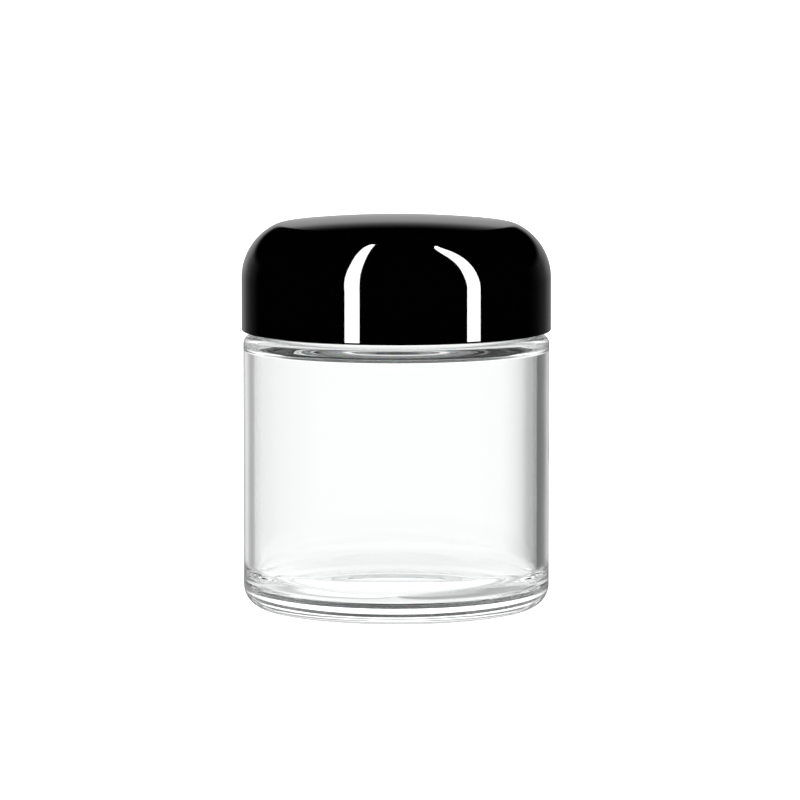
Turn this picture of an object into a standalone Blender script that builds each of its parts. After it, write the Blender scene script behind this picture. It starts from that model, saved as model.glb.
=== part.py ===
"""A screw-topped glass cream jar with a double-walled dome cap, in metres, +Z up.

The origin is the centre of the base, on the surface that the jar stands on. Five pieces share
the Z axis: the glass jar, the sealing disc on its rim, and the cap, which is an inner threaded
cap with a foam liner, inside a glossy dome shell.
"""

import math

import bmesh
import bpy
from mathutils import Matrix, Vector

MM = 0.001

# Glass jar: overall sizes and walls.
JAR_RADIUS = 23.75 * MM
BODY_HEIGHT = 42.3 * MM  # standing surface to the flat of the shoulder
GLASS_WALL = 1.85 * MM
FLOOR_THICKNESS = 3.1 * MM
HEEL_RADIUS = 3.4 * MM
INNER_HEEL_RADIUS = 3.7 * MM
SHOULDER_RADIUS = 1.3 * MM
CONTACT_RING = 2.75 * MM  # width of the flat ring that the jar stands on
PUSH_UP_HEIGHT = 0.7 * MM  # the hollow inside that ring
PUSH_UP_EDGE = 0.4 * MM
PUSH_UP_SLOPE = 1.0 * MM
SHOULDER_GLASS = 1.2 * MM  # under the flat of the shoulder
INNER_SHOULDER_RADIUS = 1.2 * MM

# Neck finish: a single right-hand thread of six turns to the inch.
NECK_HEIGHT = 10.0 * MM
NECK_WALL = 2.2 * MM
NECK_ROOT_FILLET = 0.8 * MM
RIM_RADIUS = 0.7 * MM
THREAD_PITCH = 25.4 / 6 * MM
THREAD_DEPTH = 1.2 * MM
THREAD_ROOT_WIDTH = 2.2 * MM
THREAD_CREST_WIDTH = 1.0 * MM
THREAD_BELOW_RIM = 1.7 * MM  # the thread's upper end, on its centre line
THREAD_ABOVE_SHOULDER = 2.3 * MM  # the thread's lower end, on its centre line

# Dome cap: its outer shell.
CAP_OVERHANG = 0.25 * MM  # the cap's radius beyond the jar's
SHOULDER_GAP = 0.8 * MM  # open line between the shoulder and the cap's lower edge
SHELL_WALL = 1.3 * MM
DOME_CORNER_RADIUS = 9.0 * MM
DOME_EDGE_RADIUS = 3.6 * MM  # a tighter turn, from the corner into the shallow crown
DOME_EDGE_START = 62  # degrees round the corner, from the side, where that turn starts
DOME_EDGE_END = 83.6  # and where it meets the crown
CORNER_BELOW_RIM = 1.05 * MM  # where the corner starts, so that the skirt is straight past the thread
STIFFENER_INSET = 4.3 * MM  # a round rib that hangs from the dome, in from the dome's corner
STIFFENER_WALL = 1.0 * MM
SNAP_BEAD_HEIGHT = 0.8 * MM
SNAP_BEAD_DEPTH = 0.6 * MM
KEY_COUNT = 8  # upright keys that stop the inner cap turning in the shell
KEY_WIDTH = 1.4 * MM
KEY_DEPTH = 0.5 * MM
KEY_HEIGHT = 4.5 * MM

# Inner cap, liner and sealing disc.
INNER_WALL = 1.1 * MM
TOP_PLATE = 1.2 * MM
SKIRT_RECESS = 1.5 * MM  # the inner cap's skirt ends this far up inside the shell
CAP_THREAD_DEPTH = 1.1 * MM
CAP_THREAD_ROOT_WIDTH = 1.8 * MM
CAP_THREAD_CREST_WIDTH = 0.8 * MM
CAP_THREAD_UP = 0.95 * MM  # the thread's lower end above the skirt's end, on its centre line
LINER_THICKNESS = 1.0 * MM
DISC_THICKNESS = 0.8 * MM
DISC_EDGE_INSET = 0.2 * MM  # the disc's flange inside the neck's outer wall
PLUG_DEPTH = 2.0 * MM
PLUG_WALL = 0.8 * MM
DISH_INSET = 5.5 * MM  # the dish's wall, in from the plug ring
DISH_DEPTH = 1.2 * MM
TAB_LENGTH = 13.0 * MM
TAB_WIDTH = 8.0 * MM
TAB_THICKNESS = 0.6 * MM
TAB_DROP = 0.1 * MM  # the tab's top below the disc's top

# Clearances.
SEAT_GAP = 0.3 * MM  # between faces that rest on each other
THREAD_CLEARANCE = 0.3 * MM  # radial, crest to root, and axial on the bearing flank
BITE = 0.25 * MM  # how far a joined shape is sunk into the one that carries it
EDGE_BREAK = 0.2 * MM  # the chamfer that takes the sharpness off a moulded or cut edge
TIP_RISE = 0.02 * MM  # keeps a thread's faded end off the wall's own face

ROUND_STEPS = 48
THREAD_STEPS_PER_TURN = 36
THREAD_FADE_TURNS = 0.08
SHARP_DEGREES = 35

# Radii that follow from those, from the outside in.
CAP_RADIUS = JAR_RADIUS + CAP_OVERHANG
SHELL_BORE = CAP_RADIUS - SHELL_WALL
INNER_CAP_RADIUS = SHELL_BORE - SEAT_GAP
INNER_CAP_BORE = INNER_CAP_RADIUS - INNER_WALL
THREAD_CREST = INNER_CAP_BORE - THREAD_CLEARANCE
NECK_RADIUS = THREAD_CREST - THREAD_DEPTH
NECK_BORE = NECK_RADIUS - NECK_WALL
BODY_BORE = JAR_RADIUS - GLASS_WALL

# Heights above the standing surface.
RIM_HEIGHT = BODY_HEIGHT + NECK_HEIGHT
CAP_BOTTOM = BODY_HEIGHT + SHOULDER_GAP

# Heights above the cap's lower edge, up through the stack.
RIM_IN_CAP = RIM_HEIGHT - CAP_BOTTOM
DISC_TOP = RIM_IN_CAP + SEAT_GAP + DISC_THICKNESS
LINER_BOTTOM = DISC_TOP + SEAT_GAP
LINER_TOP = LINER_BOTTOM + LINER_THICKNESS
PLATE_BOTTOM = LINER_TOP + SEAT_GAP
PLATE_TOP = PLATE_BOTTOM + TOP_PLATE

# The centre of the dome's corner, shared by the shell and by the inner cap nested in it.
CORNER_CENTRE_R = CAP_RADIUS - DOME_CORNER_RADIUS
CORNER_CENTRE_Z = RIM_IN_CAP - CORNER_BELOW_RIM

# The dome's edge and crown, each tangent to the arc before it. The crown's centre is on the axis.
CORNER_TO_EDGE = DOME_CORNER_RADIUS - DOME_EDGE_RADIUS
EDGE_CENTRE_R = CORNER_CENTRE_R + CORNER_TO_EDGE * math.cos(math.radians(DOME_EDGE_START))
EDGE_CENTRE_Z = CORNER_CENTRE_Z + CORNER_TO_EDGE * math.sin(math.radians(DOME_EDGE_START))
CROWN_RADIUS = EDGE_CENTRE_R / math.cos(math.radians(DOME_EDGE_END)) + DOME_EDGE_RADIUS
CROWN_CENTRE_Z = EDGE_CENTRE_Z - EDGE_CENTRE_R * math.tan(math.radians(DOME_EDGE_END))


def clear_scene():
    for obj in list(bpy.data.objects):
        bpy.data.objects.remove(obj)


def material(name, colour, roughness, metallic=0.0, transmission=0.0):
    made = bpy.data.materials.new(name)
    made.use_nodes = True
    shader = made.node_tree.nodes["Principled BSDF"]
    shader.inputs["Base Color"].default_value = (*colour, 1.0)
    shader.inputs["Roughness"].default_value = roughness
    shader.inputs["Metallic"].default_value = metallic
    shader.inputs["Transmission Weight"].default_value = transmission
    return made


def arc(centre_r, centre_z, radius, start_deg, end_deg, steps):
    """Points (r, z) on a circle, from one angle to another. 0 degrees points outwards, 90 up."""
    found = []
    for i in range(steps + 1):
        angle = math.radians(start_deg + (end_deg - start_deg) * i / steps)
        found.append((centre_r + radius * math.cos(angle), centre_z + radius * math.sin(angle)))
    return found


def link(mesh, name, finish, location=(0, 0, 0), parent=None):
    obj = bpy.data.objects.new(name, mesh)
    bpy.context.scene.collection.objects.link(obj)
    obj.location = location
    obj.parent = parent
    if finish is not None:
        mesh.materials.append(finish)
    mesh.shade_smooth()
    mesh.set_sharp_from_angle(angle=math.radians(SHARP_DEGREES))
    return obj


def mesh_from(bm, name):
    bmesh.ops.recalc_face_normals(bm, faces=bm.faces)
    mesh = bpy.data.meshes.new(name)
    bm.to_mesh(mesh)
    bm.free()
    return mesh


def lathe(outline, name):
    """The mesh that an outline of (r, z) points sweeps round Z. It starts and ends on the axis."""
    bm = bmesh.new()
    verts = [bm.verts.new((r, 0, z)) for r, z in outline]
    edges = [bm.edges.new(pair) for pair in zip(verts, verts[1:])]
    bmesh.ops.spin(
        bm,
        geom=verts + edges,
        axis=(0, 0, 1),
        cent=(0, 0, 0),
        angle=math.tau,
        steps=ROUND_STEPS,
    )
    bmesh.ops.remove_doubles(bm, verts=bm.verts, dist=0.001 * MM)
    return mesh_from(bm, name)


def thread(root, crest, root_width, crest_width, low_z, high_z, start_turn, name):
    """A right-hand helical ridge. Its height fades in and out over a short run at each end."""
    turns = (high_z - low_z) / THREAD_PITCH
    steps = math.ceil(turns * THREAD_STEPS_PER_TURN)
    bm = bmesh.new()
    rings = []
    for i in range(steps + 1):
        turn = turns * i / steps
        ends = min(turn, turns - turn) / THREAD_FADE_TURNS
        tip = root + (crest - root) * min(1.0, max(0.0, ends))
        width = root_width + (crest_width - root_width) * min(1.0, max(0.0, ends))
        middle = low_z + turn * THREAD_PITCH
        sunk = root - math.copysign(BITE, crest - root)
        tip += math.copysign(TIP_RISE, crest - root)
        corners = [
            (sunk, middle - root_width / 2),
            (root, middle - root_width / 2),
            (tip, middle - width / 2),
            (tip, middle + width / 2),
            (root, middle + root_width / 2),
            (sunk, middle + root_width / 2),
        ]
        turned = Matrix.Rotation(math.tau * (start_turn + turn), 3, "Z")
        rings.append([bm.verts.new(turned @ Vector((r, 0, z))) for r, z in corners])
    for near, far in zip(rings, rings[1:]):
        for k in range(len(near)):
            after = (k + 1) % len(near)
            bm.faces.new((near[k], near[after], far[after], far[k]))
    bm.faces.new(rings[0])
    bm.faces.new(reversed(rings[-1]))
    return mesh_from(bm, name)


def ring_of_boxes(count, low_r, high_r, width, low_z, high_z, name):
    bm = bmesh.new()
    middle = Matrix.Translation(((low_r + high_r) / 2, 0, (low_z + high_z) / 2))
    size = Matrix.Diagonal((high_r - low_r, width, high_z - low_z, 1))
    for i in range(count):
        turned = Matrix.Rotation(math.tau * i / count, 4, "Z")
        bmesh.ops.create_cube(bm, size=1, matrix=turned @ middle @ size)
    return mesh_from(bm, name)


def cut_or_join(obj, mesh, operation):
    """Joins a helper mesh to an object, or cuts it out, by a Boolean that stays on the object."""
    helper = link(mesh, mesh.name, None, obj.location, obj.parent)
    helper.hide_render = True
    helper.display_type = "WIRE"
    step = obj.modifiers.new(mesh.name, "BOOLEAN")
    step.operation = operation
    step.object = helper


def jar_outline():
    """Half the section of the glass: under the base, up the outside, over the rim, down the inside."""
    foot = JAR_RADIUS - HEEL_RADIUS
    hollow = foot - CONTACT_RING
    inner_foot = BODY_BORE - INNER_HEEL_RADIUS
    under_shoulder = BODY_HEIGHT - SHOULDER_GLASS
    throat_radius = BODY_BORE - NECK_BORE - INNER_SHOULDER_RADIUS
    outline = [(0, PUSH_UP_HEIGHT), (hollow - PUSH_UP_SLOPE, PUSH_UP_EDGE), (hollow, 0)]
    outline += arc(foot, HEEL_RADIUS, HEEL_RADIUS, -90, 0, 5)
    outline += arc(
        JAR_RADIUS - SHOULDER_RADIUS, BODY_HEIGHT - SHOULDER_RADIUS, SHOULDER_RADIUS, 0, 90, 4
    )
    outline += arc(
        NECK_RADIUS + NECK_ROOT_FILLET, BODY_HEIGHT + NECK_ROOT_FILLET, NECK_ROOT_FILLET, -90, -180, 2
    )
    outline += arc(NECK_RADIUS - RIM_RADIUS, RIM_HEIGHT - RIM_RADIUS, RIM_RADIUS, 0, 90, 3)
    outline += arc(NECK_BORE + RIM_RADIUS, RIM_HEIGHT - RIM_RADIUS, RIM_RADIUS, 90, 180, 3)
    outline += arc(
        NECK_BORE + throat_radius, under_shoulder + throat_radius, throat_radius, 180, 270, 5
    )
    outline += arc(
        BODY_BORE - INNER_SHOULDER_RADIUS,
        under_shoulder - INNER_SHOULDER_RADIUS,
        INNER_SHOULDER_RADIUS,
        90,
        0,
        3,
    )
    outline += arc(
        inner_foot, FLOOR_THICKNESS + INNER_HEEL_RADIUS, INNER_HEEL_RADIUS, 0, -90, 5
    )
    outline.append((0, FLOOR_THICKNESS))
    return outline


def glass_jar(finish, parent):
    jar = link(lathe(jar_outline(), "glass_jar"), "glass_jar", finish, parent=parent)
    ridge = thread(
        NECK_RADIUS,
        THREAD_CREST,
        THREAD_ROOT_WIDTH,
        THREAD_CREST_WIDTH,
        BODY_HEIGHT + THREAD_ABOVE_SHOULDER,
        RIM_HEIGHT - THREAD_BELOW_RIM,
        0.0,
        "neck_thread",
    )
    cut_or_join(jar, ridge, "UNION")


def cap_thread_place():
    """(lower end, upper end, starting turn) of the cap's thread, just under the neck's thread."""
    bearing = (THREAD_ROOT_WIDTH + CAP_THREAD_ROOT_WIDTH) / 2 - flank_overlap()
    low = SKIRT_RECESS + CAP_THREAD_UP
    high = RIM_IN_CAP - CAP_THREAD_ROOT_WIDTH / 2 - SEAT_GAP
    neck_low = BODY_HEIGHT + THREAD_ABOVE_SHOULDER - CAP_BOTTOM
    return low, high, (low + bearing + THREAD_CLEARANCE - neck_low) / THREAD_PITCH


def flank_overlap():
    """How much closer two sloping flanks stand than their full root widths would allow."""
    neck_slope = (THREAD_ROOT_WIDTH - THREAD_CREST_WIDTH) / 2 / THREAD_DEPTH
    cap_slope = (CAP_THREAD_ROOT_WIDTH - CAP_THREAD_CREST_WIDTH) / 2 / CAP_THREAD_DEPTH
    cap_crest = INNER_CAP_BORE - CAP_THREAD_DEPTH
    at_cap_crest = neck_slope * (cap_crest - NECK_RADIUS) + cap_slope * CAP_THREAD_DEPTH
    at_neck_crest = neck_slope * THREAD_DEPTH + cap_slope * (INNER_CAP_BORE - THREAD_CREST)
    return min(at_cap_crest, at_neck_crest)


def nested_corner(radius, top, steps):
    """Points on an arc round the dome's corner centre, up to a height above the cap's edge."""
    end = math.degrees(math.asin((top - CORNER_CENTRE_Z) / radius))
    return arc(CORNER_CENTRE_R, CORNER_CENTRE_Z, radius, 0, end, steps)


def inner_cap_corner():
    """(outer, inner) radii of the inner cap's corner about the dome's corner centre."""
    outer = DOME_CORNER_RADIUS - SHELL_WALL - SEAT_GAP
    return outer, outer - INNER_WALL


def inner_cap(finish, parent):
    outer, inner = inner_cap_corner()
    outline = [(0, PLATE_TOP)]
    outline += nested_corner(outer, PLATE_TOP, 5)[::-1]
    outline += [(INNER_CAP_RADIUS, SKIRT_RECESS), (INNER_CAP_BORE, SKIRT_RECESS)]
    outline += nested_corner(inner, PLATE_BOTTOM, 5)
    outline.append((0, PLATE_BOTTOM))
    cap = link(lathe(outline, "inner_cap"), "inner_cap", finish, parent=parent)
    low, high, start_turn = cap_thread_place()
    ridge = thread(
        INNER_CAP_BORE,
        INNER_CAP_BORE - CAP_THREAD_DEPTH,
        CAP_THREAD_ROOT_WIDTH,
        CAP_THREAD_CREST_WIDTH,
        low,
        high,
        start_turn,
        "cap_thread",
    )
    cut_or_join(cap, ridge, "UNION")
    slots = ring_of_boxes(
        KEY_COUNT,
        SHELL_BORE - KEY_DEPTH - SEAT_GAP,
        SHELL_BORE,
        KEY_WIDTH + 2 * SEAT_GAP,
        SKIRT_RECESS - BITE,
        SKIRT_RECESS + KEY_HEIGHT + SEAT_GAP,
        "key_slots",
    )
    cut_or_join(cap, slots, "DIFFERENCE")


def cap_liner(finish, parent):
    """A foam disc that fills the inner cap's top, under its plate."""
    inner = inner_cap_corner()[1]
    radius = nested_corner(inner, LINER_TOP, 1)[-1][0] - SEAT_GAP
    outline = [
        (0, 0),
        (radius - EDGE_BREAK, 0),
        (radius, EDGE_BREAK),
        (radius, LINER_THICKNESS - EDGE_BREAK),
        (radius - EDGE_BREAK, LINER_THICKNESS),
        (0, LINER_THICKNESS),
    ]
    link(lathe(outline, "cap_liner"), "cap_liner", finish, (0, 0, LINER_BOTTOM), parent)


def dome_side(inset, corner_steps, edge_steps):
    """Points round the dome's corner and edge, up to its crown, an inset inside its outer face."""
    corner = DOME_CORNER_RADIUS - inset
    edge = DOME_EDGE_RADIUS - inset
    found = arc(CORNER_CENTRE_R, CORNER_CENTRE_Z, corner, 0, DOME_EDGE_START, corner_steps)
    found += arc(EDGE_CENTRE_R, EDGE_CENTRE_Z, edge, DOME_EDGE_START, DOME_EDGE_END, edge_steps)[1:]
    return found


def crown_point(r, inset):
    """The point (r, z) of the dome's crown at a radius, an inset under its outer face."""
    return (r, CROWN_CENTRE_Z + math.sqrt((CROWN_RADIUS - inset) ** 2 - r**2))


def outer_shell(finish, parent):
    """The dome: its outside, then its inside with a snap bead and a round stiffening rib."""
    rib_out = CORNER_CENTRE_R - STIFFENER_INSET
    rib_in = rib_out - STIFFENER_WALL
    rib_end = PLATE_TOP + SEAT_GAP
    bead_low = SKIRT_RECESS - SEAT_GAP - SNAP_BEAD_HEIGHT
    bead_middle = bead_low + SNAP_BEAD_HEIGHT / 2

    outline = [crown_point(EDGE_CENTRE_R * i / 3, 0) for i in range(3)]
    outline += dome_side(0, 7, 3)[::-1]
    outline += [(CAP_RADIUS, EDGE_BREAK), (CAP_RADIUS - EDGE_BREAK, 0)]
    outline += [(SHELL_BORE, 0), (SHELL_BORE, bead_low)]
    outline += [
        (SHELL_BORE - SNAP_BEAD_DEPTH, bead_middle),
        (SHELL_BORE, bead_low + SNAP_BEAD_HEIGHT),
    ]
    outline += dome_side(SHELL_WALL, 6, 2)
    outline += [crown_point(rib_out, SHELL_WALL), (rib_out, rib_end), (rib_in, rib_end)]
    outline += [crown_point(r, SHELL_WALL) for r in (rib_in, rib_in / 2, 0)]
    shell = link(lathe(outline, "outer_shell"), "outer_shell", finish, parent=parent)
    keys = ring_of_boxes(
        KEY_COUNT,
        SHELL_BORE - KEY_DEPTH,
        SHELL_BORE + SHELL_WALL / 2,
        KEY_WIDTH,
        bead_low + SNAP_BEAD_HEIGHT,
        SKIRT_RECESS + KEY_HEIGHT,
        "shell_keys",
    )
    cut_or_join(shell, keys, "UNION")


def pull_tab(dish):
    """A round-ended tongue, flat, that grows from the wall of the disc's dish."""
    end = TAB_WIDTH / 2
    root_x = dish + BITE
    tip_x = root_x - TAB_LENGTH + end
    points = [(root_x, -end)]
    for x, y in arc(tip_x, 0, end, 270, 90, 8):
        points.append((x, y))
    points.append((root_x, end))
    bm = bmesh.new()
    face = bm.faces.new([bm.verts.new((x, y, DISC_THICKNESS - TAB_DROP)) for x, y in points])
    grown = bmesh.ops.extrude_face_region(bm, geom=[face])
    moved = [part for part in grown["geom"] if isinstance(part, bmesh.types.BMVert)]
    bmesh.ops.translate(bm, verts=moved, vec=(0, 0, -TAB_THICKNESS))
    return mesh_from(bm, "pull_tab")


def sealing_disc(finish, parent):
    """A moulded disc: a flange on the rim, a plug ring in the bore, and a dish for the pull tab."""
    flange = NECK_RADIUS - DISC_EDGE_INSET
    plug_out = NECK_BORE - SEAT_GAP
    plug_in = plug_out - PLUG_WALL
    plug_end = -SEAT_GAP - PLUG_DEPTH
    dish = plug_in - DISH_INSET
    dish_floor = DISC_THICKNESS - DISH_DEPTH
    dish_under = dish_floor - DISC_THICKNESS
    outline = [
        (0, dish_floor),
        (dish, dish_floor),
        (dish, DISC_THICKNESS),
        (flange - EDGE_BREAK, DISC_THICKNESS),
        (flange, DISC_THICKNESS - EDGE_BREAK),
        (flange, 0),
        (plug_out, 0),
        (plug_out, plug_end + EDGE_BREAK),
        (plug_out - EDGE_BREAK, plug_end),
        (plug_in, plug_end),
        (plug_in, 0),
        (dish + DISC_THICKNESS, 0),
        (dish + DISC_THICKNESS, dish_under),
        (0, dish_under),
    ]
    place = (0, 0, RIM_HEIGHT + SEAT_GAP)
    disc = link(lathe(outline, "sealing_disc"), "sealing_disc", finish, place, parent)
    cut_or_join(disc, pull_tab(dish), "UNION")


def empty(name, height, parent=None):
    made = bpy.data.objects.new(name, None)
    bpy.context.scene.collection.objects.link(made)
    made.location = (0, 0, height)
    made.parent = parent
    return made


def build():
    clear_scene()
    glass = material("clear_soda_lime_glass", (0.94, 0.96, 0.95), 0.02, transmission=1.0)
    gloss_black = material("gloss_black_plastic", (0.004, 0.004, 0.005), 0.06)
    satin_black = material("satin_black_polypropylene", (0.012, 0.012, 0.013), 0.35)
    foam = material("white_polyethylene_foam", (0.86, 0.86, 0.84), 0.75)
    natural = material("natural_polyethylene", (0.80, 0.82, 0.82), 0.4)

    jar_frame = empty("jar_frame", 0)
    cap_frame = empty("cap_frame", CAP_BOTTOM, jar_frame)
    glass_jar(glass, jar_frame)
    sealing_disc(natural, jar_frame)
    inner_cap(satin_black, cap_frame)
    cap_liner(foam, cap_frame)
    outer_shell(gloss_black, cap_frame)


build()
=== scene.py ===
"""Builds a screw-topped glass cream jar with a gloss black dome cap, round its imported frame."""

import math

import bmesh
import bpy
import numpy as np
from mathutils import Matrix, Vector


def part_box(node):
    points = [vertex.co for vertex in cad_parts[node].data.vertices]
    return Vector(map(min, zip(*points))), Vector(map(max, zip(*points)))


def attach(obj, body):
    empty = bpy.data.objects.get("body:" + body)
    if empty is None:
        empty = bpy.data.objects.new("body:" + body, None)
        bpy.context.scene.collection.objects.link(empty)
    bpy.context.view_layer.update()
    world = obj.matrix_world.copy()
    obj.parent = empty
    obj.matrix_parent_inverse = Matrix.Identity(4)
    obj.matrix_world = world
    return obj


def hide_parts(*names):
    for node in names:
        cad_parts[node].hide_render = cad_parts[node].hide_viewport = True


bl_info = {
    "name": "Cosmetic Cream Jar",
    "version": (1, 0, 0),
    "blender": (4, 5, 0),
    "location": "3D View > Sidebar > Cream Jar",
    "description": "Models a glass cream jar, its sealing disc and its double-walled dome cap",
    "category": "Object",
}

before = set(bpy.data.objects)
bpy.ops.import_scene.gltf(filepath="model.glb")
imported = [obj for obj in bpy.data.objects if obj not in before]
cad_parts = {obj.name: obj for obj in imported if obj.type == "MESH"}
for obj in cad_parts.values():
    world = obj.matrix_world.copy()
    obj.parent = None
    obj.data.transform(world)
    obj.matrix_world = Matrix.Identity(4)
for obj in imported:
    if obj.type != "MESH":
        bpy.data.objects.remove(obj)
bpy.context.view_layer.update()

MM = 0.001
JAR_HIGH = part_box("glass_jar")[1]
DISC_LOW, DISC_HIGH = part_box("sealing_disc")
INNER_LOW, INNER_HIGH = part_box("inner_cap")
LINER_LOW, LINER_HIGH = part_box("cap_liner")
SHELL_LOW, SHELL_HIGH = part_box("outer_shell")

# Each flat wall gets a row of vertices this near to the round corner beside it. The corner's
# shading then ends there, and the wall mirrors straight.
HOLD = 0.1 * MM

# Steps round the axis.
GLOSSY_STEPS = 288
THREADED_STEPS = 240
PLAIN_STEPS = 192


# ---------------------------------------------------------------- sizes and colours


def size(name, description, default):
    """A length in metres, kept exact to a hundredth of a millimetre."""
    return bpy.props.FloatProperty(
        name=name, description=description, default=default, min=0, unit="LENGTH", precision=5
    )


def colour(name, description, default):
    """An sRGB colour as six hex digits."""
    return bpy.props.StringProperty(name=name, description=description, default=default)


class JarSizes(bpy.types.PropertyGroup):
    """The glass jar."""

    radius: size("Radius", "Outside of the body", JAR_HIGH.x)
    height: size("Rim height", "From the surface it stands on to the rim", JAR_HIGH.z)
    neck_height: size("Neck height", "From the shoulder to the rim", 10.0 * MM)
    wall: size("Wall", "Thickness of the body's wall", 1.85 * MM)
    floor: size("Floor", "Thickness of the floor at its middle", 3.1 * MM)
    heel: size("Heel radius", "Outside corner at the foot", 3.4 * MM)
    inner_heel: size("Inner heel radius", "Inside corner at the floor", 3.7 * MM)
    shoulder: size("Shoulder radius", "Outside corner at the shoulder", 1.3 * MM)
    shoulder_glass: size("Shoulder glass", "Thickness under the shoulder", 1.2 * MM)
    neck_radius: size("Neck radius", "Outside of the neck, at the thread's root", 19.8 * MM)
    neck_wall: size("Neck wall", "Thickness of the neck", 2.2 * MM)
    thread_depth: size("Thread depth", "Height of the thread's crest", 1.2 * MM)


class CapSizes(bpy.types.PropertyGroup):
    """The dome shell, and the threaded cap and liner inside it."""

    radius: size("Radius", "Outside of the shell", SHELL_HIGH.x)
    bottom: size("Bottom", "Height of the shell's lower edge", SHELL_LOW.z)
    top: size("Top", "Height of the dome's middle", SHELL_HIGH.z)
    wall: size("Shell wall", "Thickness of the shell", 1.3 * MM)
    corner: size("Dome corner", "Radius where the side starts to turn inwards", 9.0 * MM)
    edge: size("Dome edge", "Tighter radius between that corner and the crown", 3.6 * MM)
    inner_radius: size("Inner cap radius", "Outside of the threaded cap", INNER_HIGH.x)
    inner_wall: size("Inner cap wall", "Thickness of the threaded cap's skirt", 1.1 * MM)
    plate: size("Top plate", "Thickness of the threaded cap's top", 1.2 * MM)
    thread_depth: size("Thread depth", "Height of the inner thread's crest", 1.1 * MM)


class DiscSizes(bpy.types.PropertyGroup):
    """The sealing disc."""

    radius: size("Radius", "Outside of the flange", DISC_HIGH.x)
    thickness: size("Thickness", "Thickness of the flange", 0.8 * MM)
    plug_radius: size("Plug radius", "Outside of the ring that plugs the bore", 17.3 * MM)
    plug_wall: size("Plug wall", "Thickness of that ring", 0.8 * MM)
    dish_radius: size("Dish radius", "Inside of the dish in the middle", 11.0 * MM)
    dish_depth: size("Dish depth", "From the top of the flange to the dish's floor", 1.2 * MM)
    tab_length: size("Tab length", "From the tab's root to its tip", 13.0 * MM)
    tab_width: size("Tab width", "Across the tab", 8.0 * MM)
    tab_thickness: size("Tab thickness", "Thickness of the tab", 0.6 * MM)


class JarColours(bpy.types.PropertyGroup):
    """The colours of the finishes, as sRGB hex."""

    glass: colour("Glass", "Tint of the clear glass", "FCFDFD")
    gloss_black: colour("Gloss black", "The shell", "010101")
    satin_black: colour("Satin black", "The threaded cap", "121213")
    foam: colour("Foam", "The liner", "ECEBE6")
    natural: colour("Natural white", "The sealing disc", "EEF0F0")


SETTINGS = {
    "cream_jar_glass": JarSizes,
    "cream_jar_cap": CapSizes,
    "cream_jar_disc": DiscSizes,
    "cream_jar_colours": JarColours,
}


# ---------------------------------------------------------------- modelling helpers


def arc(centre_r, centre_z, radius, start_deg, end_deg, steps):
    """Points (r, z) round a centre. 0 degrees points outwards and 90 degrees up."""
    found = []
    for i in range(steps + 1):
        angle = math.radians(start_deg + (end_deg - start_deg) * i / steps)
        found.append((centre_r + radius * math.cos(angle), centre_z + radius * math.sin(angle)))
    return found


def straight(low, high, rows):
    """Points (r, z) from one point to another, with many rows for a thread between them."""
    found = []
    for i in range(rows + 1):
        share = i / rows
        r = low[0] + (high[0] - low[0]) * share
        found.append((r, low[1] + (high[1] - low[1]) * share))
    return found


def start_piece():
    bpy.ops.object.select_all(action="DESELECT")


def select_near(piece, place, reach):
    """Selects, in edit mode, the vertices within reach of a place."""
    mesh = bmesh.from_edit_mesh(piece.data)
    for vert in mesh.verts:
        vert.select_set((vert.co - place).length < reach)
    mesh.select_flush_mode()
    bmesh.update_edit_mesh(piece.data)


def turned(name, outline, steps):
    """A body of revolution. One vertex is extruded along the half section, from the axis back to
    the axis, its marked corners are rounded, and it is spun round Z. A point is (r, z), or
    (r, z, rounding) for a square corner."""
    start_piece()
    bpy.ops.mesh.primitive_plane_add(size=MM, location=(outline[0][0], 0, outline[0][1]))
    piece = bpy.context.object
    piece.name = piece.data.name = name
    bpy.ops.object.transform_apply(location=True)
    bpy.ops.object.mode_set(mode="EDIT")
    bpy.ops.mesh.select_mode(type="VERT")
    bpy.ops.mesh.merge(type="CENTER")
    for before, after in zip(outline, outline[1:]):
        step = (after[0] - before[0], 0, after[1] - before[1])
        bpy.ops.mesh.extrude_vertices_move(TRANSFORM_OT_translate={"value": step})
    for point in outline:
        if len(point) == 3:
            select_near(piece, Vector((point[0], 0, point[1])), 0.001 * MM)
            bpy.ops.mesh.bevel(offset=point[2], segments=6, affect="VERTICES")
    bpy.ops.mesh.select_all(action="SELECT")
    bpy.ops.mesh.spin(steps=steps, angle=math.tau, center=(0, 0, 0), axis=(0, 0, 1))
    bpy.ops.mesh.select_all(action="SELECT")
    bpy.ops.mesh.remove_doubles(threshold=0.002 * MM)
    bpy.ops.mesh.normals_make_consistent(inside=False)
    bpy.ops.object.mode_set(mode="OBJECT")
    return piece


def box_at(name, low, high, edge):
    """A block between two corners, with bevelled edges."""
    start_piece()
    middle = [(a + b) / 2 for a, b in zip(low, high)]
    bpy.ops.mesh.primitive_cube_add(size=1, location=middle)
    block = bpy.context.object
    block.name = block.data.name = name
    block.scale = [b - a for a, b in zip(low, high)]
    bpy.ops.object.transform_apply(location=True, scale=True)
    bpy.ops.object.mode_set(mode="EDIT")
    bpy.ops.mesh.select_all(action="SELECT")
    bpy.ops.mesh.bevel(offset=edge, segments=2, affect="EDGES")
    bpy.ops.object.mode_set(mode="OBJECT")
    return block


def ring_of(block, count):
    """One object of a block and its copies, turned round Z."""
    start_piece()
    block.select_set(True)
    bpy.context.view_layer.objects.active = block
    bpy.ops.object.mode_set(mode="EDIT")
    bpy.ops.mesh.select_all(action="SELECT")
    for _ in range(count - 1):
        bpy.ops.mesh.duplicate()
        bpy.ops.transform.rotate(
            value=math.tau / count, orient_axis="Z", center_override=(0, 0, 0)
        )
    bpy.ops.object.mode_set(mode="OBJECT")
    return block


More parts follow.
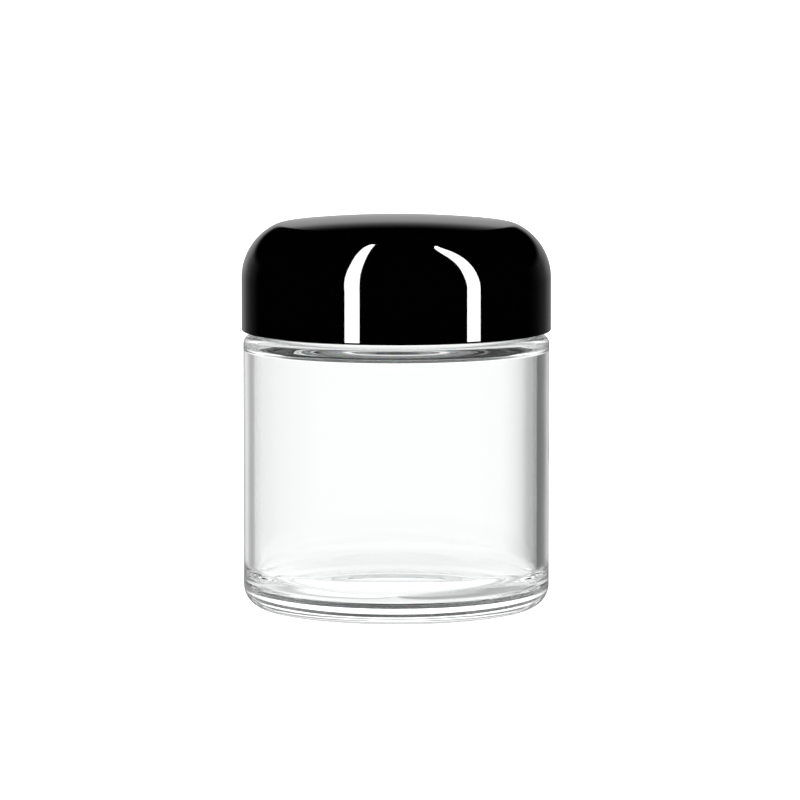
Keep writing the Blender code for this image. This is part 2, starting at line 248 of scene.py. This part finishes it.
def join_or_cut(piece, helper, operation):
    """Applies a Boolean with a helper, which is then removed."""
    start_piece()
    piece.select_set(True)
    bpy.context.view_layer.objects.active = piece
    step = piece.modifiers.new(helper.name, "BOOLEAN")
    step.operation = operation
    step.object = helper
    bpy.ops.object.modifier_apply(modifier=step.name)
    bpy.data.objects.remove(helper)


def smooth(piece, degrees):
    start_piece()
    piece.select_set(True)
    bpy.context.view_layer.objects.active = piece
    bpy.ops.object.shade_smooth_by_angle(angle=math.radians(degrees))


class Dome:
    """The dome's section: a corner arc, a tighter edge arc and a shallow crown, all tangent."""

    EDGE_START = 62  # degrees round the corner, from the side
    EDGE_END = 83.6

    def __init__(self, cap):
        self.corner = cap.corner
        self.edge = cap.edge
        self.corner_r = cap.radius - cap.corner
        start = math.radians(self.EDGE_START)
        end = math.radians(self.EDGE_END)
        self.edge_r = self.corner_r + (cap.corner - cap.edge) * math.cos(start)
        self.crown = self.edge_r / math.cos(end) + cap.edge
        self.crown_z = cap.top - self.crown
        self.edge_z = self.crown_z + self.edge_r * math.tan(end)
        self.corner_z = self.edge_z - (cap.corner - cap.edge) * math.sin(start)

    def side(self, inset, steps):
        """Points from the side up to the crown, an inset inside the outer face."""
        found = arc(
            self.corner_r, self.corner_z, self.corner - inset, 0, self.EDGE_START, steps
        )
        found += arc(
            self.edge_r, self.edge_z, self.edge - inset, self.EDGE_START, self.EDGE_END, steps // 2
        )[1:]
        return found

    def on_crown(self, r, inset=0.0):
        """The point of the crown at a radius, an inset under the outer face."""
        return (r, self.crown_z + math.sqrt((self.crown - inset) ** 2 - r**2))


class Thread:
    """A single right-hand thread on a straight wall, as heights along its centre line."""

    PITCH = 25.4 / 6 * MM
    FADE = 0.09  # of a turn, over which it runs in and out
    REACH = 0.25 * MM  # how near to the wall's radius a vertex of the wall is

    def __init__(self, root, depth, low, high, start, root_width, crest_width):
        self.root = root
        self.depth = depth
        self.low = low
        self.high = high
        self.start = start
        self.root_width = root_width
        self.crest_width = crest_width

    def height(self, angle, z):
        """The ridge's height at angles (in turns) and heights on the wall."""
        turns = (self.high - self.low) / self.PITCH
        phase = np.mod(angle - self.start, 1)
        along = phase + np.round((z - self.low) / self.PITCH - phase)
        off = np.abs(z - self.low - along * self.PITCH)
        flank = (self.root_width - self.crest_width) / 2
        rise = np.clip((self.root_width / 2 - off) / flank, 0, 1)
        ends = np.clip(np.minimum(along, turns - along) / self.FADE, 0, 1)
        return self.depth * eased(rise) * eased(ends)

    def raise_on(self, piece):
        """Moves the wall's fine rows, because no operator lifts a ridge along a helix."""
        mesh = piece.data
        places = np.empty(len(mesh.vertices) * 3)
        mesh.vertices.foreach_get("co", places)
        places = places.reshape(-1, 3)
        radius = np.hypot(places[:, 0], places[:, 1])
        on_wall = np.abs(radius - abs(self.root)) < self.REACH
        on_wall &= places[:, 2] > self.low - self.root_width / 2
        on_wall &= places[:, 2] < self.high + self.root_width / 2
        angle = np.arctan2(places[:, 1], places[:, 0]) / math.tau
        lift = np.where(on_wall, self.height(angle, places[:, 2]), 0)
        grown = 1 + lift / np.maximum(radius, MM)
        places[:, :2] *= grown[:, None]
        mesh.vertices.foreach_set("co", places.reshape(-1))
        mesh.update()


def eased(share):
    """A share from 0 to 1, flattened at both ends."""
    return share * share * (3 - 2 * share)


# ---------------------------------------------------------------- finishes


def direction(turn, lift):
    """The unit vector so many degrees round from straight in front, to the right, and up."""
    turn, lift = math.radians(turn), math.radians(lift)
    return (math.sin(turn) * math.cos(lift), -math.cos(turn) * math.cos(lift), math.sin(lift))


def smooth_between(values, along):
    """A Catmull-Rom curve through values, so far along them."""
    along = min(max(along, 0.0), len(values) - 1.0)
    i = min(int(along), len(values) - 2)
    t = along - i
    a, b, c, d = (values[min(max(k, 0), len(values) - 1)] for k in range(i - 1, i + 3))
    return b + t * (c - a + t * (2 * a - 5 * b + 4 * c - d + t * (3 * (b - c) + d - a))) / 2


def linear(hex_colour):
    """(r, g, b, 1) in linear light, from six hex digits of sRGB."""
    found = []
    for i in (0, 2, 4):
        value = int(hex_colour[i : i + 2], 16) / 255
        found.append(value / 12.92 if value <= 0.04045 else ((value + 0.055) / 1.055) ** 2.4)
    return (*found, 1.0)


def add(tree, kind, settings=(), **links):
    """Adds a node. A setting's key is an input or a property, and a link's is an input."""
    node = tree.nodes.new(kind)
    for key, value in dict(settings).items():
        if key in node.inputs:
            node.inputs[key].default_value = value
        else:
            setattr(node, key, value)
    for key, source in links.items():
        place = int(key[1:]) if key[0] == "_" else key.replace("_", " ")
        tree.links.new(source, node.inputs[place])
    return node


def new_finish(name, **values):
    """(material, its tree, its Principled BSDF)."""
    made = bpy.data.materials.new(name)
    made.use_nodes = True
    shader = made.node_tree.nodes["Principled BSDF"]
    for key, value in values.items():
        shader.inputs[key.replace("_", " ")].default_value = value
    return made, made.node_tree, shader


def grain(tree, per_mm, detail):
    """Noise with so many features in a millimetre, on Object coordinates."""
    where = add(tree, "ShaderNodeTexCoord")
    return add(
        tree,
        "ShaderNodeTexNoise",
        {"Scale": per_mm / MM, "Detail": detail},
        Vector=where.outputs["Object"],
    )


def bump(tree, shader, height, distance, strength=1.0):
    lifted = add(
        tree, "ShaderNodeBump", {"Distance": distance, "Strength": strength}, Height=height
    )
    tree.links.new(lifted.outputs["Normal"], shader.inputs["Normal"])


def spread(tree, source, low, high, socket):
    """Links a 0 to 1 pattern to a socket, as values from low to high."""
    made = add(tree, "ShaderNodeMapRange", {"To Min": low, "To Max": high}, Value=source)
    tree.links.new(made.outputs["Result"], socket)


def flint_glass(colours):
    """Pressed soda-lime flint glass: clear, with a fire-polished skin that waves very slightly
    over about 9 mm, so that what is seen through it is not quite straight."""
    made, tree, shader = new_finish(
        "pressed_flint_glass", IOR=1.52, Transmission_Weight=1.0, Roughness=0.0
    )
    shader.inputs["Base Color"].default_value = linear(colours.glass)
    waves = grain(tree, 0.11, 1.0)
    bump(tree, shader, waves.outputs["Fac"], 0.03 * MM, 0.5)
    return made


def gloss_black_abs(colours):
    """ABS moulded in a polished tool: jet black and mirror smooth, with a trace of orange peel
    about 3 mm across and the faintest handling haze in its gloss."""
    made, tree, shader = new_finish("polished_black_abs", IOR=1.5)
    shader.inputs["Base Color"].default_value = linear(colours.gloss_black)
    peel = grain(tree, 0.3, 1.0)
    bump(tree, shader, peel.outputs["Fac"], 0.002 * MM, 0.4)
    haze = grain(tree, 0.08, 4.0)
    spread(tree, haze.outputs["Fac"], 0.015, 0.035, shader.inputs["Roughness"])
    return made


def satin_black_pp(colours):
    """Polypropylene moulded in a lightly sparked tool: an even satin black with a fine grain."""
    made, tree, shader = new_finish("moulded_black_polypropylene", IOR=1.49)
    shader.inputs["Base Color"].default_value = linear(colours.satin_black)
    spark = grain(tree, 6.0, 3.0)
    bump(tree, shader, spark.outputs["Fac"], 0.01 * MM, 0.5)
    spread(tree, spark.outputs["Fac"], 0.34, 0.46, shader.inputs["Roughness"])
    return made


def foam_white_pe(colours):
    """Expanded polyethylene sheet: matt white, with closed cells about 0.35 mm across."""
    made, tree, shader = new_finish(
        "expanded_polyethylene_foam", IOR=1.45, Roughness=0.75, Subsurface_Weight=0.25
    )
    shader.inputs["Subsurface Scale"].default_value = 0.4 * MM
    shader.inputs["Base Color"].default_value = linear(colours.foam)
    where = add(tree, "ShaderNodeTexCoord")
    cells = add(
        tree,
        "ShaderNodeTexVoronoi",
        {"Scale": 1 / (0.35 * MM)},
        Vector=where.outputs["Object"],
    )
    bump(tree, shader, cells.outputs["Distance"], 0.05 * MM, 0.6)
    return made


def natural_pe(colours):
    """Natural polyethylene, injection moulded: waxy and milky white, a little see-through, with
    slow flow marks in its sheen."""
    made, tree, shader = new_finish(
        "moulded_natural_polyethylene", IOR=1.51, Subsurface_Weight=0.5
    )
    shader.inputs["Subsurface Scale"].default_value = 0.8 * MM
    shader.inputs["Base Color"].default_value = linear(colours.natural)
    flow = grain(tree, 0.25, 3.0)
    spread(tree, flow.outputs["Fac"], 0.3, 0.44, shader.inputs["Roughness"])
    bump(tree, shader, flow.outputs["Fac"], 0.01 * MM, 0.4)
    return made


# ---------------------------------------------------------------- the pieces


def placed(piece, body, node, finish):
    """Says what a finished piece rides on, stands for and is made of."""
    piece.data.materials.clear()
    piece.data.materials.append(finish)
    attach(piece, body)
    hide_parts(node)


NECK_THREAD = {"root_width": 2.2 * MM, "crest_width": 1.0 * MM}
CAP_THREAD = {"root_width": 1.8 * MM, "crest_width": 0.8 * MM}
NECK_THREAD_LOW = 2.3 * MM  # above the shoulder
NECK_THREAD_HIGH = 1.7 * MM  # below the rim
CAP_THREAD_LOW = 0.95 * MM  # above the inner cap's lower edge
BEARING = 1.3 * MM  # between the centre lines of the neck's thread and the cap's
THREAD_CLEARANCE = 0.3 * MM
NECK_ROWS = 68  # fine rows of the neck's wall, for the thread to be raised on
CAP_ROWS = 48

# The hollow under the base, from its middle outwards, as (radius, height) in mm. The jar stands on
# the ring of glass round it.
HOLLOW = ((0, 0.7), (7.0, 0.66), (7.5, 0.58), (15.6, 0.5))
HOLLOW_STEP = 0.4 * MM  # its height where it starts to drop to the ring
STANDING_RING = 2.75 * MM  # across

# The keys of the shell sit in the slots of the inner cap.
KEYS = 8
KEY_HALF_WIDTH = 0.7 * MM
KEY_DEPTH = 0.5 * MM
KEY_TOP = 6.0 * MM  # above the shell's lower edge
SLOT_HALF_WIDTH = 1.0 * MM
SLOT_DEPTH = 0.8 * MM
SLOT_TOP = 4.8 * MM  # above the inner cap's lower edge
PAST = 0.2 * MM  # how far a cutter goes past the face that it cuts

# The stiffening ring inside the dome.
RING_INSET = 4.3 * MM  # from the centre of the dome's corner
RING_WALL = 1.0 * MM
RING_GAP = 0.3 * MM  # over the inner cap


def neck_thread(jar):
    shoulder = jar.height - jar.neck_height
    return Thread(
        jar.neck_radius,
        jar.thread_depth,
        shoulder + NECK_THREAD_LOW,
        jar.height - NECK_THREAD_HIGH,
        0.0,
        **NECK_THREAD,
    )


class CREAMJAR_OT_glass(bpy.types.Operator):
    """Press the glass jar, with its threaded neck and its hollow under the base"""

    bl_idname = "creamjar.glass"
    bl_label = "Glass Jar"

    def execute(self, context):
        jar = context.scene.cream_jar_glass
        shoulder = jar.height - jar.neck_height
        bore = jar.radius - jar.wall
        throat = jar.neck_radius - jar.neck_wall
        foot = jar.radius - jar.heel
        hollow = foot - STANDING_RING
        under = shoulder - jar.shoulder_glass
        inner_shoulder = 1.2 * MM
        throat_radius = bore - throat - inner_shoulder
        rim = 0.7 * MM
        root_fillet = 0.8 * MM

        outline = [(r * MM, z * MM) for r, z in HOLLOW]
        outline += [(hollow - 1.0 * MM, HOLLOW_STEP, 0.6 * MM)]
        outline += [(hollow - 2 * HOLD, 0), (hollow, 0)]
        outline += arc(foot, jar.heel, jar.heel, -90, 0, 16)
        outline += [(jar.radius, jar.heel + HOLD), (jar.radius, shoulder - jar.shoulder - HOLD)]
        outline += arc(jar.radius - jar.shoulder, shoulder - jar.shoulder, jar.shoulder, 0, 90, 10)
        outline += [(jar.radius - jar.shoulder - HOLD, shoulder)]
        outline += [(jar.neck_radius + root_fillet + HOLD, shoulder)]
        outline += arc(
            jar.neck_radius + root_fillet, shoulder + root_fillet, root_fillet, -90, -180, 6
        )
        outline += straight(
            (jar.neck_radius, shoulder + root_fillet + HOLD),
            (jar.neck_radius, jar.height - rim - HOLD / 2),
            NECK_ROWS,
        )
        outline += arc(jar.neck_radius - rim, jar.height - rim, rim, 0, 90, 6)
        outline += arc(throat + rim, jar.height - rim, rim, 90, 180, 6)
        outline += arc(throat + throat_radius, under + throat_radius, throat_radius, 180, 270, 14)
        outline += arc(bore - inner_shoulder, under - inner_shoulder, inner_shoulder, 90, 0, 8)[1:]
        outline += [(bore, under - inner_shoulder - HOLD)]
        outline += [(bore, jar.floor + jar.inner_heel + HOLD)]
        outline += arc(
            bore - jar.inner_heel, jar.floor + jar.inner_heel, jar.inner_heel, 0, -90, 16
        )
        outline += [(bore - jar.inner_heel - HOLD, jar.floor), (0, jar.floor)]
        piece = turned("clear_glass_jar", outline, GLOSSY_STEPS)
        neck_thread(jar).raise_on(piece)
        smooth(piece, 40)
        finish = flint_glass(context.scene.cream_jar_colours)
        placed(piece, "jar", "glass_jar", finish)
        return {"FINISHED"}


class CREAMJAR_OT_disc(bpy.types.Operator):
    """Mould the sealing disc, with its plug ring and its pull tab"""

    bl_idname = "creamjar.disc"
    bl_label = "Sealing Disc"

    def execute(self, context):
        disc = context.scene.cream_jar_disc
        bottom = DISC_HIGH.z - disc.thickness
        top = DISC_HIGH.z
        plug_end = DISC_LOW.z
        plug_in = disc.plug_radius - disc.plug_wall
        dish = disc.dish_radius
        dish_floor = top - disc.dish_depth
        soft = 0.15 * MM
        lip = 0.25 * MM
        bend = 0.3 * MM
        outline = [
            (0, dish_floor),
            (dish, dish_floor, bend),
            (dish, top, soft),
            (disc.radius, top, lip),
            (disc.radius, bottom, soft),
            (disc.plug_radius, bottom),
            (disc.plug_radius, plug_end, lip),
            (plug_in, plug_end, soft),
            (plug_in, bottom, soft),
            (dish + disc.thickness, bottom, soft),
            (dish + disc.thickness, dish_floor - disc.thickness, bend),
            (0, dish_floor - disc.thickness),
        ]
        piece = turned("white_sealing_disc", outline, PLAIN_STEPS)
        join_or_cut(piece, self.tab(disc), "UNION")
        smooth(piece, 35)
        finish = natural_pe(context.scene.cream_jar_colours)
        placed(piece, "seal", "sealing_disc", finish)
        return {"FINISHED"}

    def tab(self, disc):
        """A flat tongue with a round end, from the dish's wall inwards. It is a cylinder whose
        outer half is drawn out square into the wall."""
        start_piece()
        below_flange = 0.1 * MM
        into_wall = 0.25 * MM
        near = 0.01 * MM
        top = DISC_HIGH.z - below_flange
        root_x = disc.dish_radius + into_wall
        half = disc.tab_width / 2
        tip_x = root_x - disc.tab_length + half
        bpy.ops.mesh.primitive_cylinder_add(
            vertices=64,
            radius=half,
            depth=disc.tab_thickness,
            location=(tip_x, 0, top - disc.tab_thickness / 2),
        )
        tab = bpy.context.object
        tab.name = tab.data.name = "pull_tab"
        bpy.ops.object.transform_apply(location=True)
        for vert in tab.data.vertices:
            if vert.co.x > tip_x + near:
                vert.co.y = math.copysign(half, vert.co.y) if abs(vert.co.y) > near else 0
                vert.co.x = root_x
        bpy.ops.object.mode_set(mode="EDIT")
        bpy.ops.mesh.select_all(action="SELECT")
        bpy.ops.mesh.remove_doubles(threshold=0.001 * MM)
        bpy.ops.mesh.normals_make_consistent(inside=False)
        bpy.ops.object.mode_set(mode="OBJECT")
        return tab


class CREAMJAR_OT_inner_cap(bpy.types.Operator):
    """Mould the threaded inner cap, with the slots that key it to the shell"""

    bl_idname = "creamjar.inner_cap"
    bl_label = "Inner Cap"

    def execute(self, context):
        cap = context.scene.cream_jar_cap
        jar = context.scene.cream_jar_glass
        dome = Dome(cap)
        centre_r = dome.corner_r
        centre_z = dome.corner_z
        outer = cap.inner_radius - centre_r
        inner = outer - cap.inner_wall
        bore = cap.inner_radius - cap.inner_wall
        top = INNER_HIGH.z
        plate = top - cap.plate
        bottom = INNER_LOW.z
        outer_end = math.degrees(math.asin((top - centre_z) / outer))
        inner_end = math.degrees(math.asin((plate - centre_z) / inner))
        soft = 0.15 * MM
        outline = [(0, top)]
        outline += arc(centre_r, centre_z, outer, outer_end, 0, 14)
        outline += [(cap.inner_radius, bottom, soft), (bore, bottom, soft)]
        outline += straight((bore, bottom + soft + HOLD / 2), (bore, centre_z - HOLD), CAP_ROWS)
        outline += arc(centre_r, centre_z, inner, 0, inner_end, 24)
        outline += [(0, plate)]
        piece = turned("black_inner_cap", outline, THREADED_STEPS)
        self.thread(cap, jar, bore).raise_on(piece)
        join_or_cut(piece, self.slots(cap, bottom), "DIFFERENCE")
        smooth(piece, 35)
        finish = satin_black_pp(context.scene.cream_jar_colours)
        placed(piece, "cap", "inner_cap", finish)
        return {"FINISHED"}

    def thread(self, cap, jar, bore):
        """The cap's thread, which runs just under the neck's."""
        low = INNER_LOW.z + CAP_THREAD_LOW
        high = jar.height - CAP_THREAD["root_width"] / 2 - THREAD_CLEARANCE
        neck = neck_thread(jar)
        start = (low + BEARING + THREAD_CLEARANCE - neck.low) / Thread.PITCH
        return Thread(bore, -cap.thread_depth, low, high, start, **CAP_THREAD)

    def slots(self, cap, bottom):
        edge = 0.15 * MM
        shell_bore = cap.radius - cap.wall
        low = (shell_bore - SLOT_DEPTH, -SLOT_HALF_WIDTH, bottom - edge - HOLD)
        high = (shell_bore + PAST, SLOT_HALF_WIDTH, bottom + SLOT_TOP)
        return ring_of(box_at("key_slots", low, high, edge), KEYS)


class CREAMJAR_OT_liner(bpy.types.Operator):
    """Cut the foam liner"""

    bl_idname = "creamjar.liner"
    bl_label = "Cap Liner"

    def execute(self, context):
        edge = 0.15 * MM
        outline = [
            (0, LINER_LOW.z),
            (LINER_HIGH.x, LINER_LOW.z, edge),
            (LINER_HIGH.x, LINER_HIGH.z, edge),
            (0, LINER_HIGH.z),
        ]
        piece = turned("white_foam_liner", outline, PLAIN_STEPS)
        smooth(piece, 35)
        finish = foam_white_pe(context.scene.cream_jar_colours)
        placed(piece, "cap", "cap_liner", finish)
        return {"FINISHED"}


class CREAMJAR_OT_shell(bpy.types.Operator):
    """Mould the gloss black dome, with its snap bead, keys and stiffening ring inside"""

    bl_idname = "creamjar.shell"
    bl_label = "Outer Shell"

    def execute(self, context):
        cap = context.scene.cream_jar_cap
        dome = Dome(cap)
        bore = cap.radius - cap.wall
        edge = 0.2 * MM
        bead_low = cap.bottom + 0.4 * MM
        bead = 0.4 * MM
        ring_edge = 0.15 * MM
        ring_out = dome.corner_r - RING_INSET
        ring_in = ring_out - RING_WALL
        ring_end = INNER_HIGH.z + RING_GAP

        outline = [dome.on_crown(dome.edge_r * i / 30) for i in range(30)]
        outline += dome.side(0, 40)[::-1]
        outline += [(cap.radius, dome.corner_z - HOLD), (cap.radius, cap.bottom + edge + HOLD)]
        outline += [(cap.radius, cap.bottom, edge), (bore, cap.bottom, edge / 2)]
        outline += arc(bore, bead_low + bead, bead, -90, -270, 8)
        outline += dome.side(cap.wall, 16)
        outline += [dome.on_crown(ring_out, cap.wall)]
        outline += [(ring_out, ring_end, ring_edge), (ring_in, ring_end, ring_edge)]
        outline += [dome.on_crown(r, cap.wall) for r in (ring_in, ring_in / 2, 0)]
        piece = turned("gloss_black_dome", outline, GLOSSY_STEPS)
        join_or_cut(piece, self.keys(cap, bore, bead_low + 2 * bead), "UNION")
        smooth(piece, 35)
        finish = gloss_black_abs(context.scene.cream_jar_colours)
        placed(piece, "cap", "outer_shell", finish)
        return {"FINISHED"}

    def keys(self, cap, bore, foot):
        low = (bore - KEY_DEPTH, -KEY_HALF_WIDTH, foot)
        high = (bore + cap.wall / 2, KEY_HALF_WIDTH, cap.bottom + KEY_TOP)
        return ring_of(box_at("shell_keys", low, high, 0.1 * MM), KEYS)


# ---------------------------------------------------------------- the stage


CAMERA_BACK = 0.935
CAMERA_UP = 0.1383
CAMERA_ASIDE = 0.00057
CAMERA_DOWN_DEG = 6.48
LENS_MM = 272.6

# What stands behind the glass: brightness against degrees from straight behind the jar. It is a
# wide lit sheet between two grey cards.
BEHIND = (
    (-180, 1.35), (-52, 1.45), (-43, 1.2), (-36, 0.6), (-30, 0.45), (-24, 0.6), (-16, 1.05),
    (6, 1.05), (12, 0.66), (21, 0.25), (45, 0.17), (56, 0.4), (85, 0.7), (115, 1.2), (180, 1.35),
)
# How much the sheet and cards count, against degrees above the horizon. The pale floor mirrors
# them faintly.
CARDS = ((-90, 0.6), (-17, 0.6), (-12, 1.0), (1, 1.0), (5, 0.0), (90, 0.0))
# Brightness of what is above and below them.
BEYOND = (
    (-90, 0.86), (-40, 0.87), (-20, 0.92), (2, 1.05), (6, 1.4), (10, 1.6), (38, 1.6), (60, 0.7),
    (90, 0.4),
)
# What the gloss mirrors, in a dark room: the sheet behind, dimmer towards its sides.
SHEET = (
    (-180, 0.0), (-55, 0.0), (-42, 0.05), (-32, 0.13), (-23, 0.29), (0, 0.27), (26, 0.18),
    (35, 0.08), (50, 0.02), (62, 0.0), (180, 0.0),
)
# The sheet's brightness against degrees above the horizon, with its soft upper edge.
SHEET_TOP = (
    (-90, 0.5), (-12, 0.9), (-6, 1.2), (0, 1.9), (8, 1.75), (9.5, 1.4), (11.2, 0.58), (13, 0.1),
    (14.5, 0.0), (90, 0.0),
)

# Two long strip lights stand in front, lean back over the jar and taper. Each stop is a direction
# from the jar, as degrees round from straight in front, degrees up, and the strip's half width
# there. A smooth curve runs through them.
LEFT_STRIP = (
    (-32.5, -4, 5.6), (-33, 15, 5.6), (-36, 45, 4.2), (-48, 67, 2.9), (-80, 78, 1.8),
    (-120, 80, 0.8),
)
RIGHT_STRIP = (
    (59, -4, 5.5), (58.5, 20, 5.3), (61, 42, 4.6), (68, 61, 3.7), (82, 71, 2.0), (101, 74, 0.4),
)
STRIP_DISTANCE = 1.2
STRIP_STRENGTH = 30
STRIP_ROWS = 160
FLOOR_RADIUS = 6
FLOOR_GLOW = 0.9
LIGHT_BOUNCES = 32  # enough for light to get out of the thick corners of the glass


class CREAMJAR_OT_stage(bpy.types.Operator):
    """Lay the pale floor, hang the lights and set up the camera"""

    bl_idname = "creamjar.stage"
    bl_label = "Stage"

    def execute(self, context):
        scene = context.scene
        scene.view_settings.view_transform = "Standard"
        scene.cycles.max_bounces = LIGHT_BOUNCES
        scene.cycles.glossy_bounces = LIGHT_BOUNCES
        scene.cycles.transmission_bounces = LIGHT_BOUNCES
        self.floor()
        self.strip("left_strip", LEFT_STRIP)
        self.strip("right_strip", RIGHT_STRIP)
        self.surroundings(scene)
        self.camera(scene)
        return {"FINISHED"}

    def floor(self):
        start_piece()
        bpy.ops.mesh.primitive_circle_add(vertices=96, radius=FLOOR_RADIUS, fill_type="NGON")
        floor = bpy.context.object
        floor.name = "pale_floor"
        made, _, shader = new_finish("lit_white_acrylic", Roughness=0.6)
        shader.inputs["Base Color"].default_value = linear("F4F4F4")
        shader.inputs["Emission Color"].default_value = (1, 1, 1, 1)
        shader.inputs["Emission Strength"].default_value = FLOOR_GLOW
        floor.data.materials.append(made)
        floor.visible_glossy = False
        floor.visible_transmission = False

    def strip(self, name, stops):
        """A bent sheet of light, seen only in the black gloss. It is a row of quads along a
        smooth curve."""
        start_piece()
        bpy.ops.mesh.primitive_grid_add(x_subdivisions=1, y_subdivisions=STRIP_ROWS, size=2)
        sheet = bpy.context.object
        sheet.name = name
        for vert in sheet.data.vertices:
            along = (vert.co.y + 1) / 2 * (len(stops) - 1)
            vert.co = self.on_strip(stops, along, vert.co.x)
        made, tree, shader = new_finish("strip_light")
        tree.nodes.remove(shader)
        glow = add(tree, "ShaderNodeEmission", {"Strength": STRIP_STRENGTH})
        tree.links.new(glow.outputs[0], tree.nodes["Material Output"].inputs["Surface"])
        sheet.data.materials.append(made)
        sheet.visible_camera = sheet.visible_diffuse = sheet.visible_transmission = False
        sheet.visible_shadow = False
        self.light_only(sheet, bpy.data.objects["gloss_black_dome"])

    def light_only(self, sheet, piece):
        """Links a light to one piece, so that the glass doesn't mirror it."""
        start_piece()
        piece.select_set(True)
        sheet.select_set(True)
        bpy.context.view_layer.objects.active = sheet
        bpy.ops.object.light_linking_receivers_link(link_state="INCLUDE")

    def on_strip(self, stops, along, side):
        """A point of a strip, so far along its stops, on its left edge (-1) or its right (1)."""
        ahead = self.middle(stops, along + 0.01)
        behind = self.middle(stops, along - 0.01)
        across = (ahead - behind).cross(ahead).normalized()
        middle = self.middle(stops, along)
        width = math.tan(math.radians(smooth_between([stop[2] for stop in stops], along)))
        return (middle + across * width * side) * STRIP_DISTANCE

    def middle(self, stops, along):
        """The direction of a strip's middle line, so far along its stops."""
        ways = [direction(turn, lift) for turn, lift, _ in stops]
        return Vector(smooth_between(axis, along) for axis in zip(*ways)).normalized()

    def ramp(self, tree, degrees, span, stops):
        """A brightness that follows an angle, given as (degrees, brightness) stops."""
        share = add(
            tree,
            "ShaderNodeMapRange",
            {"From Min": -math.radians(span), "From Max": math.radians(span)},
            Value=degrees,
        )
        made = add(tree, "ShaderNodeValToRGB", Fac=share.outputs["Result"])
        colours = made.color_ramp.elements
        while len(colours) > 1:
            colours.remove(colours[0])
        for i, (angle, value) in enumerate(stops):
            place = (angle + span) / (2 * span)
            stop = colours[0] if i == 0 else colours.new(place)
            stop.position = place
            stop.color = (value, value, value, 1)
        return made.outputs["Color"]

    def surroundings(self, scene):
        world = bpy.data.worlds.new("studio")
        scene.world = world
        world.use_nodes = True
        tree = world.node_tree
        tree.nodes.clear()
        way = add(tree, "ShaderNodeTexCoord").outputs["Generated"]
        parts = add(tree, "ShaderNodeSeparateXYZ", Vector=way).outputs
        turn = add(tree, "ShaderNodeMath", {"operation": "ARCTAN2"}, _0=parts["X"], _1=parts["Y"])
        lift = add(tree, "ShaderNodeMath", {"operation": "ARCSINE"}, _0=parts["Z"])
        turn, lift = turn.outputs[0], lift.outputs[0]

        def times(a, b):
            return add(tree, "ShaderNodeMath", {"operation": "MULTIPLY"}, _0=a, _1=b).outputs[0]

        def either(share, other, chosen):
            return add(
                tree, "ShaderNodeMix", {"data_type": "FLOAT"}, _0=share, _2=other, _3=chosen
            ).outputs[0]

        seen_through = either(
            self.ramp(tree, lift, 90, CARDS),
            self.ramp(tree, lift, 90, BEYOND),
            self.ramp(tree, turn, 180, BEHIND),
        )
        in_gloss = times(
            self.ramp(tree, turn, 180, SHEET), self.ramp(tree, lift, 90, SHEET_TOP)
        )
        rays = add(tree, "ShaderNodeLightPath").outputs
        plain = add(tree, "ShaderNodeValue")
        plain.outputs[0].default_value = 1.0
        light = either(rays["Is Glossy Ray"], plain.outputs[0], in_gloss)
        light = either(rays["Is Transmission Ray"], light, seen_through)
        glow = add(tree, "ShaderNodeBackground", {"Strength": 1.0}, Color=light)
        out = add(tree, "ShaderNodeOutputWorld")
        tree.links.new(glow.outputs[0], out.inputs["Surface"])

    def camera(self, scene):
        start_piece()
        down = math.radians(CAMERA_DOWN_DEG)
        bpy.ops.object.camera_add(
            location=(CAMERA_ASIDE, -CAMERA_BACK, CAMERA_UP), rotation=(math.pi / 2 - down, 0, 0)
        )
        camera = bpy.context.object
        camera.data.lens = LENS_MM
        camera.data.sensor_width = 36
        scene.camera = camera


class CREAMJAR_PT_panel(bpy.types.Panel):
    """The sizes and colours, and a button for each piece"""

    bl_label = "Cream Jar"
    bl_idname = "CREAMJAR_PT_panel"
    bl_space_type = "VIEW_3D"
    bl_region_type = "UI"
    bl_category = "Cream Jar"

    def draw(self, context):
        for settings, group in SETTINGS.items():
            box = self.layout.box()
            held = getattr(context.scene, settings)
            for name in group.__annotations__:
                box.prop(held, name)
        for operator in OPERATORS:
            self.layout.operator(operator.bl_idname)


OPERATORS = (
    CREAMJAR_OT_glass,
    CREAMJAR_OT_disc,
    CREAMJAR_OT_inner_cap,
    CREAMJAR_OT_liner,
    CREAMJAR_OT_shell,
    CREAMJAR_OT_stage,
)


def register():
    for group in (*SETTINGS.values(), *OPERATORS, CREAMJAR_PT_panel):
        bpy.utils.register_class(group)
    for name, group in SETTINGS.items():
        setattr(bpy.types.Scene, name, bpy.props.PointerProperty(type=group))


def unregister():
    for name in SETTINGS:
        delattr(bpy.types.Scene, name)
    for group in (CREAMJAR_PT_panel, *reversed(OPERATORS), *SETTINGS.values()):
        bpy.utils.unregister_class(group)


def main():
    register()
    bpy.ops.creamjar.glass()
    bpy.ops.creamjar.disc()
    bpy.ops.creamjar.inner_cap()
    bpy.ops.creamjar.liner()
    bpy.ops.creamjar.shell()
    bpy.ops.creamjar.stage()


if __name__ == "__main__":
    main()
